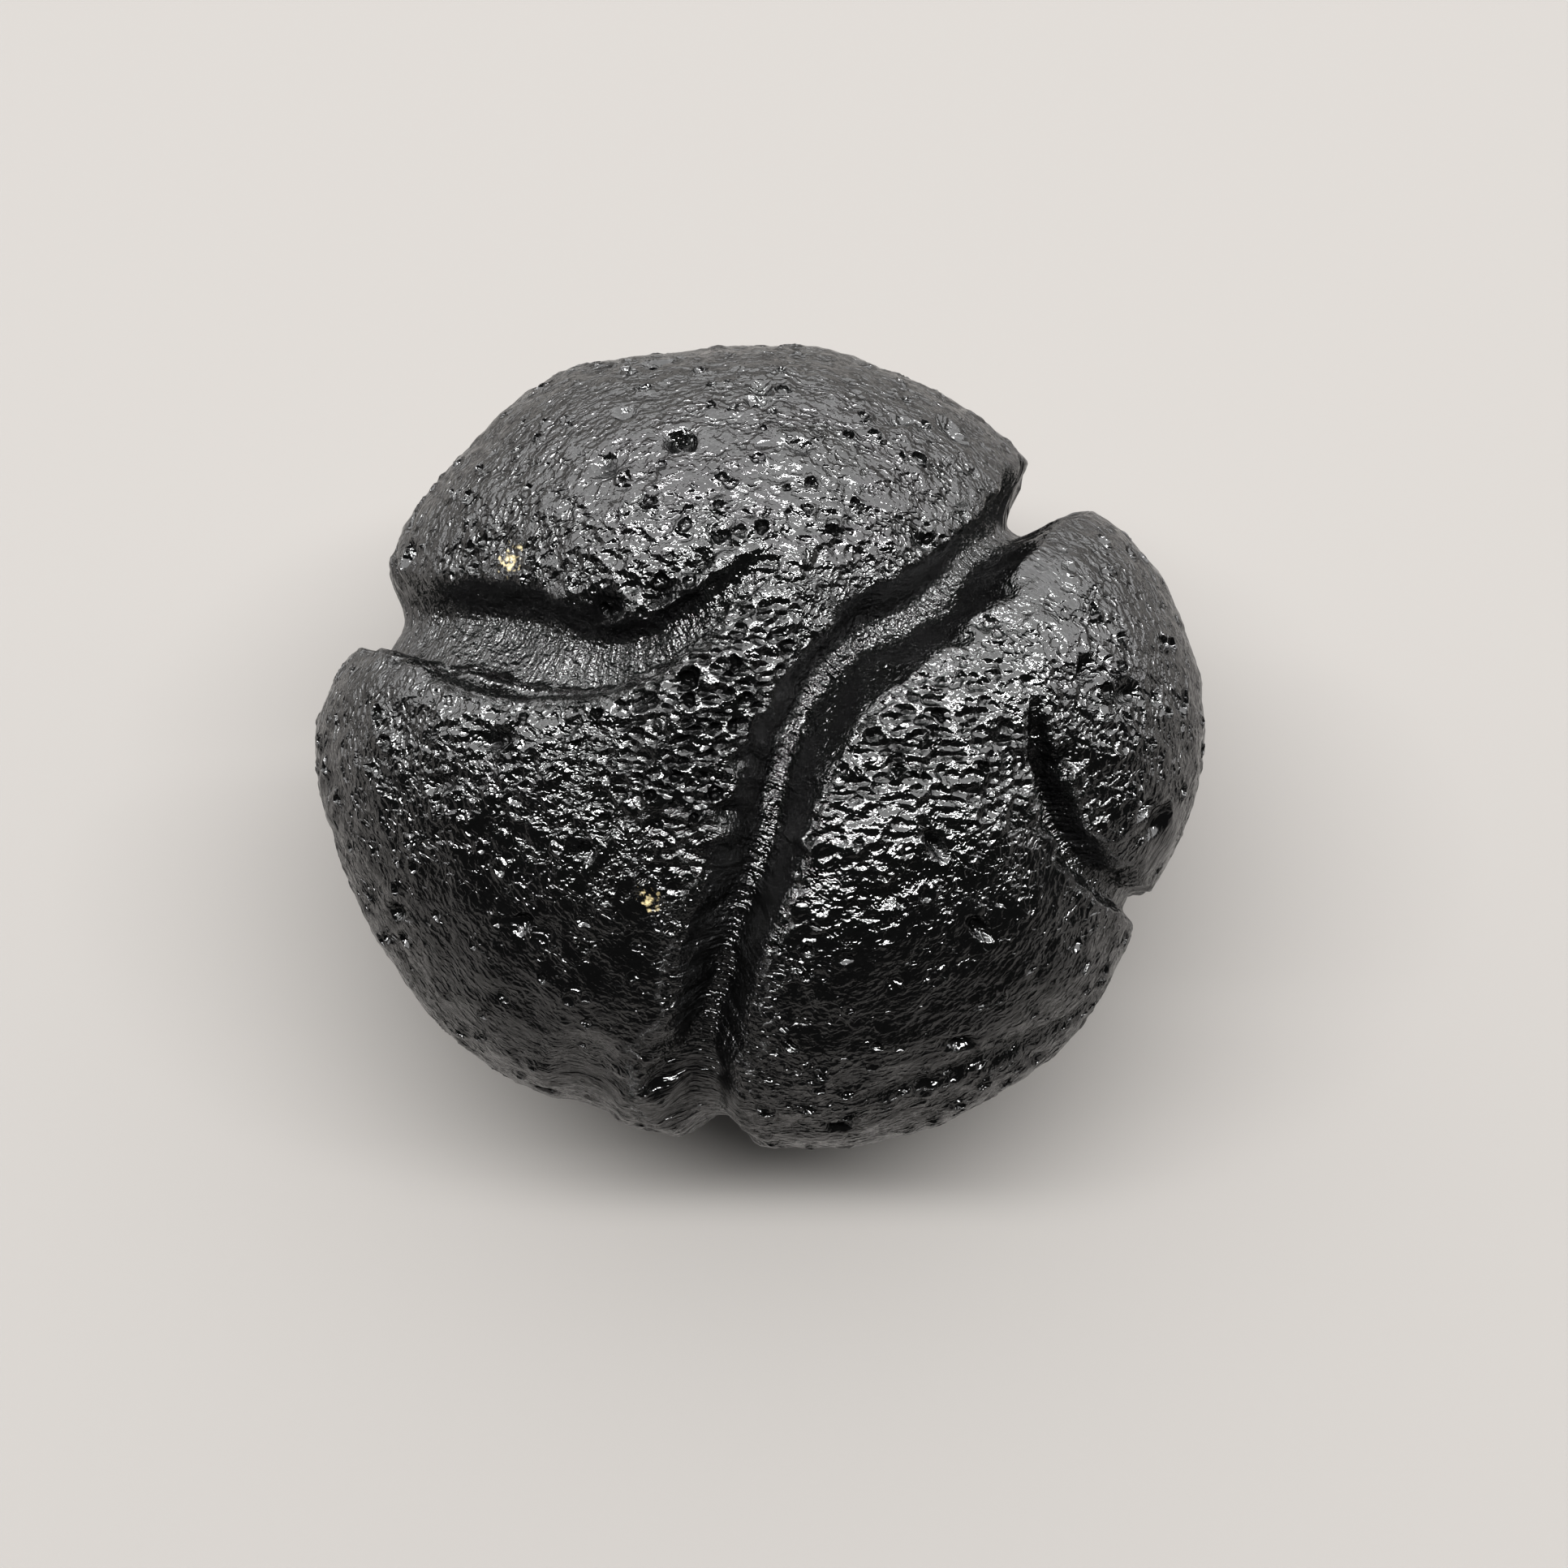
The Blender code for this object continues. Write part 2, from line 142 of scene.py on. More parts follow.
sideGroove = {
    "rows": (
        (0.2, 7.6, 14.5, 0.7, 0.7, 0.3, 0.0),
        (-1.4, 6.6, 14.8, 0.9, 1.0, 0.8, 0.1),
        (-2.9, 5.8, 14.9, 1.1, 1.3, 1.2, 0.3),
        (-4.9, 5.0, 14.8, 1.3, 1.6, 1.6, 0.4),
        (-7.1, 4.7, 14.3, 1.6, 1.8, 1.9, 0.5),
        (-9.0, 5.0, 13.7, 1.9, 2.3, 2.1, 0.4),
        (-11.3, 6.0, 12.4, 2.0, 2.9, 2.3, 0.3),
        (-13.4, 6.8, 10.8, 1.9, 3.1, 2.4, 0.4),
        (-16.5, 7.0, 7.7, 1.8, 2.4, 2.2, 0.3),
        (-18.9, 6.7, 2.8, 3.0, 2.0, 1.7, 0.0),
        (-18.0, 5.5, -6.0, 1.8, 1.8, 1.2, 0.0),
        (-13.5, 3.5, -12.0, 1.4, 1.4, 0.2, 0.0),
    ),
    "ragged": 0.17,
    "flatShare": (0.05, 0.75),
    "floorRise": 0.1,  # the floor rises evenly towards its left rim
    "valleyWidth": 5.0,
    "valleyDepth": 0.8,
}
creaseGroove = {
    "rows": (
        (-15.6, 4.5, 9.9, 0.5, 0.4, 0.3, 0.0),
        (-14.2, 4.0, 11.2, 0.8, 0.5, 1.0, 0.0),
        (-11.9, 3.2, 12.9, 0.8, 0.5, 1.2, 0.0),
        (-9.5, 3.0, 13.8, 0.8, 0.5, 1.1, 0.0),
        (-7.0, 3.0, 14.5, 0.7, 0.5, 1.0, 0.0),
        (-4.5, 3.6, 15.0, 0.6, 0.5, 0.8, 0.0),
        (-2.2, 4.8, 15.1, 0.5, 0.4, 0.4, 0.0),
    ),
    "ragged": 0.17,
    "flatShare": (0.1, 0.1),
    "floorRise": 0.0,
    "valleyWidth": 0.0,
    "valleyDepth": 0.0,
}
edgeGroove = {
    "rows": (
        (12.0, 2.0, 13.0, 0.4, 0.4, 0.2, 0.0),
        (12.3, 0.4, 13.0, 0.7, 0.6, 0.9, 0.0),
        (12.9, -1.4, 12.6, 0.9, 0.8, 1.7, 0.0),
        (13.6, -3.2, 11.9, 1.0, 0.8, 1.8, 0.0),
        (14.5, -5.0, 10.7, 0.9, 0.9, 1.4, 0.0),
        (16.2, -6.4, 8.2, 0.9, 1.1, 1.0, 0.0),
        (18.0, -7.6, 2.5, 1.1, 1.2, 0.9, 0.0),
        (17.0, -8.2, -6.0, 1.3, 1.3, 0.8, 0.0),
        (13.0, -8.0, -12.0, 1.0, 1.0, 0.1, 0.0),
    ),
    "ragged": 0.25,
    "flatShare": (0.2, 0.2),
    "floorRise": 0.0,
    "valleyWidth": 4.0,
    "valleyDepth": 0.45,
}
lowerGroove = {
    "rows": (
        (4.5, -15.6, 8.9, 0.5, 0.5, 0.1, 0.0),
        (7.3, -14.9, 8.8, 0.9, 0.9, 0.35, 0.0),
        (10.3, -14.0, 7.9, 1.0, 1.0, 0.4, 0.0),
        (13.2, -12.8, 6.6, 0.9, 0.9, 0.35, 0.0),
        (15.5, -11.0, 5.0, 0.5, 0.5, 0.1, 0.0),
    ),
    "ragged": 0.3,
    "flatShare": (0.1, 0.1),
    "floorRise": 0.0,
    "valleyWidth": 3.5,
    "valleyDepth": 0.3,
}
bottomSaddle = {
    "rows": (
        (-8.2, -12.6, 10.4, 1.2, 1.2, 0.2, 0.0),
        (-8.2, -14.3, 9.0, 2.0, 2.0, 0.7, 0.0),
        (-8.2, -16.2, 5.0, 2.3, 2.3, 0.6, 0.0),
        (-8.0, -17.2, 0.0, 2.2, 2.2, 0.5, 0.0),
        (-7.0, -16.0, -7.0, 1.5, 1.5, 0.1, 0.0),
    ),
    "ragged": 0.17,
    "flatShare": (0.1, 0.1),
    "floorRise": 0.0,
    "valleyWidth": 0.0,
    "valleyDepth": 0.0,
}
grooves = (mainGroove, sideGroove, creaseGroove, edgeGroove, lowerGroove, bottomSaddle)

# Each hollow: the point in its middle, its half length, its half width, its length's angle and its depth
hollows = (
    (-7.1, 6.5, 14.0, 1.5, 0.9, 5, 0.9),  # long hollow over the side groove
    (-4.4, 6.6, 14.4, 1.3, 0.6, 35, 0.5),
    (-2.4, 7.6, 14.2, 1.2, 0.4, 40, 0.4),
    (-3.4, 12.9, 11.8, 0.8, 0.7, 0, 0.8),  # deep pit on the top lobe
    (-0.2, 14.7, 10.5, 0.6, 0.5, 0, 0.5),
    (-5.9, 14.4, 10.3, 0.6, 0.5, 20, 0.3),
    (-11.7, 0.5, 13.2, 1.1, 0.5, 8, 0.4),
    (-14.0, -1.4, 11.9, 1.0, 0.6, 20, 0.3),
    (7.5, -4.0, 14.2, 1.0, 0.35, -52, 0.6),  # short slot on the lower right lobe
    (9.4, -7.6, 12.6, 0.9, 0.4, -30, 0.4),
    (14.0, 3.5, 11.7, 0.9, 0.45, 80, 0.5),  # pits on the right lobe
    (15.9, 2.6, 10.5, 0.7, 0.5, 20, 0.4),
    (17.2, 2.4, 9.3, 0.5, 0.5, 0, 0.3),
    (18.8, 2.3, 7.4, 0.8, 0.4, 70, 0.4),
    (17.8, -3.2, 8.4, 1.2, 0.9, 30, 0.5),  # thumbprint under the right lobe
    (10.0, 5.7, 12.9, 0.6, 0.5, 0, 0.4),
    (8.7, -12.8, 10.1, 1.0, 0.45, 15, 0.4),
    (3.4, -16.9, 7.1, 0.9, 0.5, 0, 0.5),
    (-4.5, -3.1, 15.0, 0.6, 0.5, 0, 0.4),
    (-7.6, -4.4, 14.0, 0.6, 0.5, 0, 0.4),
    (-10.5, -7.5, 11.9, 0.7, 0.5, 40, 0.4),
    (-20.0, -3.4, 3.0, 2.2, 1.6, 80, 0.6),  # dent in the left edge
    (-16.2, 9.3, 5.5, 0.9, 0.6, 80, 0.6),  # rough edge left of the top lobe
    (-15.9, 10.6, 4.0, 0.7, 0.5, 80, 0.4),
    (1.6, 12.6, 12.2, 0.7, 0.5, 10, 0.3),
    (6.0, 14.6, 9.5, 0.9, 0.5, 10, 0.3),
)

# Smaller pits all over, spread evenly by a spiral with a seeded shift
scatter = {
    "count": 84,
    "radii": (0.55, 0.95),
    "ovals": (0.6, 1.0),  # width over length
    "depths": (0.25, 0.5),
    "wander": 20,  # degrees either way off the spiral
    "seed": 11,
    "goldenAngle": 137.508,
    "clearOfFoot": 0.88,  # cosine of the angle from straight down within which there are none
}

# Where the skin is etched into a honeycomb: the middle of the patch, its radius and its strength
combPatches = (
    (-2.5, 1.0, 15.0, 6.5, 1.0),
    (-9.5, 0.0, 12.8, 7.0, 0.4),
    (-1.5, -3.0, 15.0, 6.0, 0.7),
    (4.5, 1.5, 15.0, 5.0, 0.9),
    (8.5, 0.5, 13.5, 5.5, 0.8),
    (-5.0, 9.0, 13.3, 6.0, 0.4),
    (1.0, 8.5, 14.0, 5.5, 0.45),
    (-1.0, 4.5, 15.0, 4.0, 0.9),
    (4.0, -3.0, 15.0, 4.5, 0.8),
    (3.5, -7.5, 14.0, 4.5, 0.5),
)
# Where it is smooth, with flow lines alone
smoothPatches = (
    (-3.0, -16.0, 8.0, 3.2, 1.0),
    (-4.7, -16.3, 5.8, 2.5, 1.0),
    (-8.2, -15.5, 7.0, 2.6, 0.8),
    (14.0, 14.0, 2.0, 3.6, 1.0),
    (18.2, -4.0, 7.0, 2.4, 1.0),
    (13.0, -5.5, 12.0, 2.2, 0.7),
    (12.3, 8.3, 10.3, 2.2, 0.6),
    (-9.0, -9.0, 11.0, 10.0, 0.5),
    (8.0, -9.5, 11.0, 9.0, 0.55),
    (5.5, -6.5, 13.5, 6.5, 0.5),
)

# What the points of the carved form hold for the skin and the glass
storedKinds = {"formPlace": "FLOAT_VECTOR", "raised": "FLOAT", "sunk": "FLOAT", "comb": "FLOAT",
               "smooth": "FLOAT", "fluted": "FLOAT", "flutePlace": "FLOAT_VECTOR"}


def smoothRow(values, count, closed=False):
    # Catmull-Rom curve through rows of values
    values = np.asarray(values, float)
    total = len(values)
    steps = np.linspace(0, total if closed else total - 1, count, endpoint=False)
    first = np.floor(steps).astype(int)
    share = (steps - first).reshape((-1,) + (1,) * (values.ndim - 1))
    around = [first + shift for shift in (-1, 0, 1, 2)]
    around = [index % total if closed else np.clip(index, 0, total - 1) for index in around]
    before, here, after, beyond = (values[index] for index in around)
    return 0.5 * (2 * here + (after - before) * share
                  + (2 * before - 5 * here + 4 * after - beyond) * share ** 2
                  + (3 * here - before - 3 * after + beyond) * share ** 3)


def unit(vectors):
    return vectors / np.linalg.norm(vectors, axis=-1, keepdims=True)


def ramp(values, low, high):
    share = np.clip((values - low) / (high - low), 0, 1)
    return share * share * (3 - 2 * share)


def lumpSurface(directions):
    # Points of the stone without its grooves, one in each direction from its middle
    outline = smoothRow(lump["outlineRadii"], lump["outlineSteps"], closed=True)
    bearing = np.degrees(np.arctan2(directions[:, 1], directions[:, 0])) % 360
    turns = np.linspace(0, 360, lump["outlineSteps"] + 1)
    radius = np.interp(bearing, turns, np.append(outline, outline[0]))
    height = np.where(directions[:, 2] > 0, lump["faceHeight"], lump["backHeight"])
    across = np.hypot(directions[:, 0], directions[:, 1])
    along = np.abs(directions[:, 2])
    power = lump["sectionPower"]
    reach = ((across / radius) ** power + (along / height) ** power) ** (-1 / power)
    foot = np.clip(directions @ downWay, 0, 1) ** lump["footPower"]
    reach = reach + lump["footSwell"] * foot
    random = np.random.RandomState(lump["waveSeed"])
    for _ in range(lump["waveCount"]):
        way = unit(random.normal(size=3))
        waves = random.uniform(*lump["waves"])
        wave = np.sin(waves * (directions @ way) + random.uniform(0, math.tau))
        reach = reach + lump["waveSize"] * wave * (1 - foot)
    return directions * reach[:, None]


def nearestOnLine(line, points, reach):
    # The nearest place on a groove's middle line for each point within reach, and its first one for the rest
    nearest = np.zeros(len(points), int)
    coarse = line[::lump["stepsPerRow"] // 2]
    spacing = np.linalg.norm(np.diff(line, axis=0), axis=1).max() * lump["stepsPerRow"]
    gap = np.full(len(points), np.inf)
    for place in coarse:
        gap = np.minimum(gap, ((points - place) ** 2).sum(axis=1))
    inside = np.flatnonzero(gap < (reach + spacing) ** 2)
    tree = KDTree(len(line))
    for index, place in enumerate(line):
        tree.insert(place, index)
    tree.balance()
    nearest[inside] = [tree.find(point)[1] for point in points[inside].tolist()]
    return nearest


def grooveCut(groove, points, normals, ragged):
    # How deep a groove cuts at each point, its valley there, the lean of its rim, the place along and across
    # it, and how far it is fluted
    rows = np.array(groove["rows"])
    samples = smoothRow(rows, lump["stepsPerRow"] * (len(rows) - 1))
    line = lumpSurface(unit(samples[:, :3]))
    tangents = unit(np.gradient(line, axis=0))
    reach = max(groove["valleyWidth"], lump["overhangEnds"] * samples[:, 3:5].max())
    nearest = nearestOnLine(line, points, reach)
    offset = points - line[nearest]
    distance = np.linalg.norm(offset, axis=1)
    rightHand = np.cross(tangents[nearest], normals)
    onRight = (offset * rightHand).sum(axis=1) > 0
    right, left, depth, hang = (np.maximum(samples[nearest, column], 0) for column in (3, 4, 5, 6))
    share = distance / (np.where(onRight, right, left) + tiny) * (1 + groove["ragged"] * ragged)
    floorShare = np.where(onRight, *groove["flatShare"])
    swell = groove["floorRise"] * np.clip(share / floorShare, 0, 1)
    wall = np.clip((share - floorShare) / (1 - floorShare), 0, 1) ** lump["wallSharpness"]
    cut = depth * (1 - ramp(wall, 0, 1)) * np.where(onRight, 1, 1 - swell)
    hang = hang * ramp(share, *lump["overhangGrows"]) * (1 - ramp(share, 1, lump["overhangEnds"]))
    lean = -unit(offset + tiny) * np.where(onRight, hang, 0)[:, None]
    valley = np.zeros(len(points))
    if groove["valleyWidth"]:
        fade = depth / depth.max()
        rise = ramp(distance, lump["valleyStart"], groove["valleyWidth"])
        valley = groove["valleyDepth"] * fade * (1 - rise)
    length = np.append(0, np.cumsum(np.linalg.norm(np.diff(line, axis=0), axis=1)))
    place = np.column_stack((length[nearest], np.where(onRight, 1, -1) * distance))
    fluted = (1 - ramp(share, *lump["flutesFade"])) * np.clip(depth / lump["fluteFullDepth"], 0, 1)
    return cut, valley, lean, place, fluted


def ripple(points, sizes, seed):
    # Smooth random values round 0, mostly between -1 and 1, with waves of the given sizes in millimetres
    random = np.random.RandomState(seed)
    total = np.zeros(len(points))
    for _ in range(lump["rippleCount"]):
        way = unit(random.normal(size=3)) * math.tau / random.uniform(*sizes)
        total += np.sin(points @ way + random.uniform(0, math.tau))
    return total * math.sqrt(2 / lump["rippleCount"]) / 2


def hollowCut(hollow, points, ragged):
    # How deep an oval hollow with ragged edges cuts at each point
    x, y, z, halfLength, halfWidth, angle, depth = hollow
    middle = lumpSurface(unit(np.array([[x, y, z]])))[0]
    out = unit(middle)
    east = unit(np.cross((0, 1, 0), out))
    north = np.cross(out, east)
    turn = math.radians(angle)
    lengthWay = east * math.cos(turn) + north * math.sin(turn)
    widthWay = north * math.cos(turn) - east * math.sin(turn)
    offset = points - middle
    near = np.flatnonzero((offset * offset).sum(axis=1) < (2 * halfLength) ** 2)
    offset = offset[near]
    spread = ((offset @ lengthWay) / halfLength) ** 2 + ((offset @ widthWay) / halfWidth) ** 2
    spread = spread + ((offset @ out) / (2 * halfLength)) ** 2
    spread = spread * (1 + lump["hollowRaggedness"] * ragged[near])
    cut = np.zeros(len(points))
    cut[near] = depth * np.clip(1 - spread, 0, 1) ** lump["hollowRounding"]
    return cut


def scatteredPits():
    # Small hollows spread by a spiral from the top of the face round to the back
    random = np.random.RandomState(scatter["seed"])
    found = []
    for index in range(scatter["count"]):
        height = 1 - 2 * (index + 0.5) / scatter["count"]
        wander = random.uniform(-scatter["wander"], scatter["wander"])
        bearing = math.radians(scatter["goldenAngle"] * index + wander)
        across = math.sqrt(1 - height * height)
        radius = random.uniform(*scatter["radii"])
        pit = (across * math.cos(bearing), across * math.sin(bearing), height,
               radius, radius * random.uniform(*scatter["ovals"]), random.uniform(0, 180),
               random.uniform(*scatter["depths"]))
        if downWay @ pit[:3] < scatter["clearOfFoot"]:
            found.append(pit)
    return tuple(found)


def patchShare(patches, points):
    # How much each point belongs to any of some round patches of skin
    share = np.zeros(len(points))
    for x, y, z, radius, strength in patches:
        middle = lumpSurface(unit(np.array([[x, y, z]])))[0]
        distance = np.linalg.norm(points - middle, axis=1)
        share = np.maximum(share, strength * (1 - ramp(distance, lump["patchCore"] * radius, radius)))
    return share


def storeValues(mesh, name, kind, values):
    layer = mesh.attributes.new(name, kind, "POINT")
    key = "vector" if kind == "FLOAT_VECTOR" else "value"
    layer.data.foreach_set(key, np.asarray(values, np.float32).ravel())


def pointsOf(mesh):
    points = np.empty(len(mesh.vertices) * 3)
    mesh.vertices.foreach_get("co", points)
    return points.reshape(-1, 3)


def setPoints(mesh, points):
    mesh.vertices.foreach_set("co", points.ravel())
    mesh.update()


def carvedStone():
    # The stone's form with its grooves and hollows, with what the skin needs stored on its points
    ball = bmesh.new()
    bmesh.ops.create_icosphere(ball, subdivisions=lump["roundness"], radius=1)
    mesh = bpy.data.meshes.new("carvedStone")
    ball.to_mesh(mesh)
    ball.free()
    points = lumpSurface(unit(pointsOf(mesh) + (0, 0, lump["towardsFace"])))
    setPoints(mesh, points)
    normals = np.empty(len(points) * 3)
    mesh.vertex_normals.foreach_get("vector", normals)
    normals = normals.reshape(-1, 3)
    trench, valley, fluted, sunk = np.zeros((4, len(points)))
    lean, flutePlace = np.zeros((2, len(points), 3))
    ragged = ripple(points, lump["grooveRipples"], lump["grooveSeed"])
    for number, groove in enumerate(grooves):
        cut, dip, shift, place, share = grooveCut(groove, points, normals, ragged)
        more = share > fluted
        flutePlace[more] = np.insert(place, 2, lump["fluteShift"] * number, axis=1)[more]
        fluted = np.maximum(fluted, share)
        trench = np.maximum(trench, cut)
        valley = np.maximum(valley, dip)
        lean += shift
    comb = patchShare(combPatches, points)
    smooth = patchShare(smoothPatches, points)
    ragged = ripple(points, lump["hollowRipples"], lump["hollowSeed"])
    for hollow in hollows + scatteredPits():
        kept = 1 if hollow in hollows else 1 - smooth
        cut = hollowCut(hollow, points, ragged) * kept * (1 - ramp(trench, *lump["hollowFades"]))
        trench = trench + cut
        sunk = sunk + cut
    points = points - normals * (trench + valley)[:, None] + lean
    below = points @ downWay - ((points @ downWay).max() - lump["flatSpotRise"])
    points = points - np.maximum(below, 0)[:, None] * downWay
    setPoints(mesh, points)
    found = {"formPlace": points, "raised": ramp(-below, 0, lump["skinStarts"]),
             "sunk": ramp(sunk, *lump["sunkRange"]), "comb": comb, "smooth": smooth, "fluted": fluted,
             "flutePlace": flutePlace}
    for name, kind in storedKinds.items():
        storeValues(mesh, name, kind, found[name])
    return mesh


# The etched skin that the carved form gets, in millimetres. The finest cells of the real honeycomb wouldn't
# show, so its cells are drawn as coarse as they need to be.
skin = {
    "combCell": 0.55,
    "combDepth": 0.15,
    "pitSpacing": 1.1,
    "pitDepth": 0.28,
    "dashLength": 0.9,
    "dashWidth": 0.5,
    "dashDepth": 0.06,
    "fluteSpacing": 0.42,
    "fluteDepth": 0.07,
    "swellSize": 2.6,
    "swellDepth": 0.6,
    "seed": 4.0,
}

# How the skin's hollows are laid out and rounded, in the mesh and in the glass alike. A noise is given by
# its waves to a millimetre, and then by how far it shifts a place or by the values between which it counts.
pattern = {
    "bend": (0.7, 0.6),
    "tear": (2.5, 0.35),
    "contourRadius": 18.0,  # radius by which angles round the face become millimetres
    "combStretch": (1.15, 0.85, 1.0),
    "combRim": 0.62,  # radius of a hollow as a share of its cell
    "combRandomness": 0.85,
    "pitRim": 0.3,
    "pitFloor": 0.6,  # below 1 gives steep sides and a flatter floor
    "lipStarts": 0.9,  # in pit radii
    "lipEnds": 1.7,
    "lipHeight": 0.35,  # as a share of the pit's depth
    "pitChance": (0.5, 0.7),  # random values of the cells where pits start and are whole
    "combMostPits": 0.4,  # the honeycomb's strength up to which it gets more pits
    "combMorePits": 1.1,  # how much a strength of 1 would lower the value where they start
    "dashRim": 0.8,
    "dashPatches": (1.1, 0.3, 0.6),
    "grooveWear": 0.75,  # share of the skin that is gone from the grooves
    "fluteLength": 2.4,
    "fluteRange": (0.3, 0.7),  # noise at the crest and in the bed of a flute
    "swellDetail": 3.0,
    "swellRoughness": 0.55,
    "seedShift": (13.1, 7.7, 3.9),  # how far one step of the seed moves the swells
}


def addNode(tree, kind, settings=None, inputs=None):
    # An input is a value, a socket, or a node whose first output it takes
    node = tree.nodes.new(kind)
    for name, value in (settings or {}).items():
        setattr(node, name, value)
    for name, value in (inputs or {}).items():
        if isinstance(value, bpy.types.Node):
            value = value.outputs[0]
        if isinstance(value, bpy.types.NodeSocket):
            tree.links.new(value, node.inputs[name])
        else:
            node.inputs[name].default_value = value
    return node


def contourPlace(tree, place):
    # Millimetres along the contours that run round the face, as a ring, and down from its middle, as height
    radius = pattern["contourRadius"]
    flat = addNode(tree, "ShaderNodeVectorMath", {"operation": "MULTIPLY"}, {0: place, 1: (1, 1, 0)})
    across = addNode(tree, "ShaderNodeVectorMath", {"operation": "LENGTH"}, {0: flat})
    way = addNode(tree, "ShaderNodeVectorMath", {"operation": "NORMALIZE"}, {0: flat})
    ring = addNode(tree, "ShaderNodeVectorMath", {"operation": "SCALE"}, {0: way, "Scale": radius})
    parts = addNode(tree, "ShaderNodeSeparateXYZ", None, {0: place})
    angle = addNode(tree, "ShaderNodeMath", {"operation": "ARCTAN2"},
                    {0: across.outputs["Value"], 1: parts.outputs["Z"]})
    down = addNode(tree, "ShaderNodeMath", {"operation": "MULTIPLY"}, {0: angle, 1: radius})
    height = addNode(tree, "ShaderNodeCombineXYZ", None, {"Z": down})
    return addNode(tree, "ShaderNodeVectorMath", None, {0: ring, 1: height})


def cellHollows(tree, place, rim, randomness=1.0):
    # A rounded hollow in each cell of a pattern, 1 deep in its middle and nothing at rim from it
    cells = addNode(tree, "ShaderNodeTexVoronoi", None,
                    {"Vector": place, "Scale": 1.0, "Randomness": randomness})
    square = addNode(tree, "ShaderNodeMath", {"operation": "POWER"}, {0: cells.outputs["Distance"], 1: 2.0})
    bowl = addNode(tree, "ShaderNodeMapRange", None,
                   {"Value": square, "From Max": rim ** 2, "To Min": 1.0, "To Max": 0.0})
    return bowl, cells


def patchy(tree, place, scale, low, high):
    # Smooth random patches over a place, 0 where the noise is low and 1 where it is high
    noise = addNode(tree, "ShaderNodeTexNoise", None, {"Vector": place, "Scale": scale, "Detail": 1.0})
    return addNode(tree, "ShaderNodeMapRange", None, {"Value": noise, "From Min": low, "From Max": high})


def warped(tree, place, scale, size):
    # A place that is shifted by smooth random amounts, so that patterns on it lose their straight lines
    drift = addNode(tree, "ShaderNodeTexNoise", None, {"Vector": place, "Scale": scale, "Detail": 1.0})
    return addNode(tree, "ShaderNodeVectorMath", {"operation": "MULTIPLY_ADD"},
                   {0: drift.outputs["Color"], 1: (size, size, size), 2: place})


def skinHollows(tree, place, size, combShare):
    # How deep the skin's honeycomb, pits and dashes are, each in millimetres where it is at full strength
    bent = warped(tree, place, *pattern["bend"])
    torn = warped(tree, bent, *pattern["tear"])
    found = {}
    combSize = addNode(tree, "ShaderNodeVectorMath", {"operation": "SCALE"},
                       {0: pattern["combStretch"], "Scale": size["combCell"]})
    combPlace = addNode(tree, "ShaderNodeVectorMath", {"operation": "DIVIDE"}, {0: bent, 1: combSize})
    found["comb"], _ = cellHollows(tree, combPlace, pattern["combRim"], pattern["combRandomness"])

    # A pit has steep sides and a raised lip, and honeycomb has more of them
    rim = pattern["pitRim"]
    pitSize = addNode(tree, "ShaderNodeCombineXYZ", None, dict.fromkeys("XYZ", size["pitSpacing"]))
    pitPlace = addNode(tree, "ShaderNodeVectorMath", {"operation": "DIVIDE"}, {0: torn, 1: pitSize})
    bowl, cells = cellHollows(tree, pitPlace, rim)
    steep = addNode(tree, "ShaderNodeMath", {"operation": "POWER"}, {0: bowl, 1: pattern["pitFloor"]})
    lip = addNode(tree, "ShaderNodeMapRange", {"interpolation_type": "SMOOTHSTEP"},
                  {"Value": cells.outputs["Distance"], "From Min": rim * pattern["lipStarts"],
                   "From Max": rim * pattern["lipEnds"], "To Min": -pattern["lipHeight"], "To Max": 0.0})
    lipped = addNode(tree, "ShaderNodeMath", None, {0: steep, 1: lip})
    start, whole = pattern["pitChance"]
    some = addNode(tree, "ShaderNodeMath", {"operation": "MINIMUM"},
                   {0: combShare, 1: pattern["combMostPits"]})
    fewest = addNode(tree, "ShaderNodeMath", {"operation": "MULTIPLY_ADD"},
                     {0: some, 1: -pattern["combMorePits"], 2: start})
    chosen = addNode(tree, "ShaderNodeMapRange", None,
                     {"Value": cells.outputs["Color"], "From Min": fewest, "From Max": whole})
    found["pit"] = addNode(tree, "ShaderNodeMath", {"operation": "MULTIPLY"}, {0: lipped, 1: chosen})

    dashSize = addNode(tree, "ShaderNodeCombineXYZ", None,
                       {"X": size["dashLength"], "Y": size["dashLength"], "Z": size["dashWidth"]})
    dashPlace = addNode(tree, "ShaderNodeVectorMath", {"operation": "DIVIDE"},
                        {0: contourPlace(tree, torn), 1: dashSize})
    dash, _ = cellHollows(tree, dashPlace, pattern["dashRim"])
    found["dash"] = addNode(tree, "ShaderNodeMath", {"operation": "MULTIPLY"},
                            {0: dash, 1: patchy(tree, place, *pattern["dashPatches"])})
    for name, hollow in found.items():
        found[name] = addNode(tree, "ShaderNodeMath", {"operation": "MULTIPLY"},
                              {0: hollow, 1: size[name + "Depth"]})
    return found


